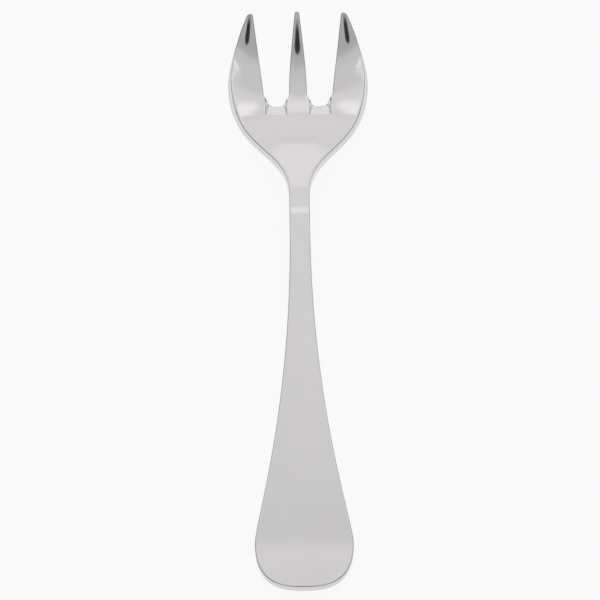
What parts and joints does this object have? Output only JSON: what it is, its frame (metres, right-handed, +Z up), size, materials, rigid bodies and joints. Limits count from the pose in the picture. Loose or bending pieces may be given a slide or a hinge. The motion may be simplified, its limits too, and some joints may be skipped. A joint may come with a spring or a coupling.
{
  "type": "oyster fork",
  "caption": "Short one-piece table fork with a wide dished head, tapered tines swept upwards, a narrow neck and a paddle-shaped handle, for seafood.",
  "frame": {"origin": "centre of the bounding box's bottom: under the middle of the fork's length, on the plane it rests on", "axes": "+X across the fork, +Y along its length towards the tips of the tines, +Z up out of the dished front face, with the fork lying on its back"},
  "size_m": [0.0314, 0.142, 0.0091],
  "materials": {
    "polished_steel": "polished stainless steel"
  },
  "bodies": {
    "root": {"fork": "polished_steel"}
  },
  "joints": []
}
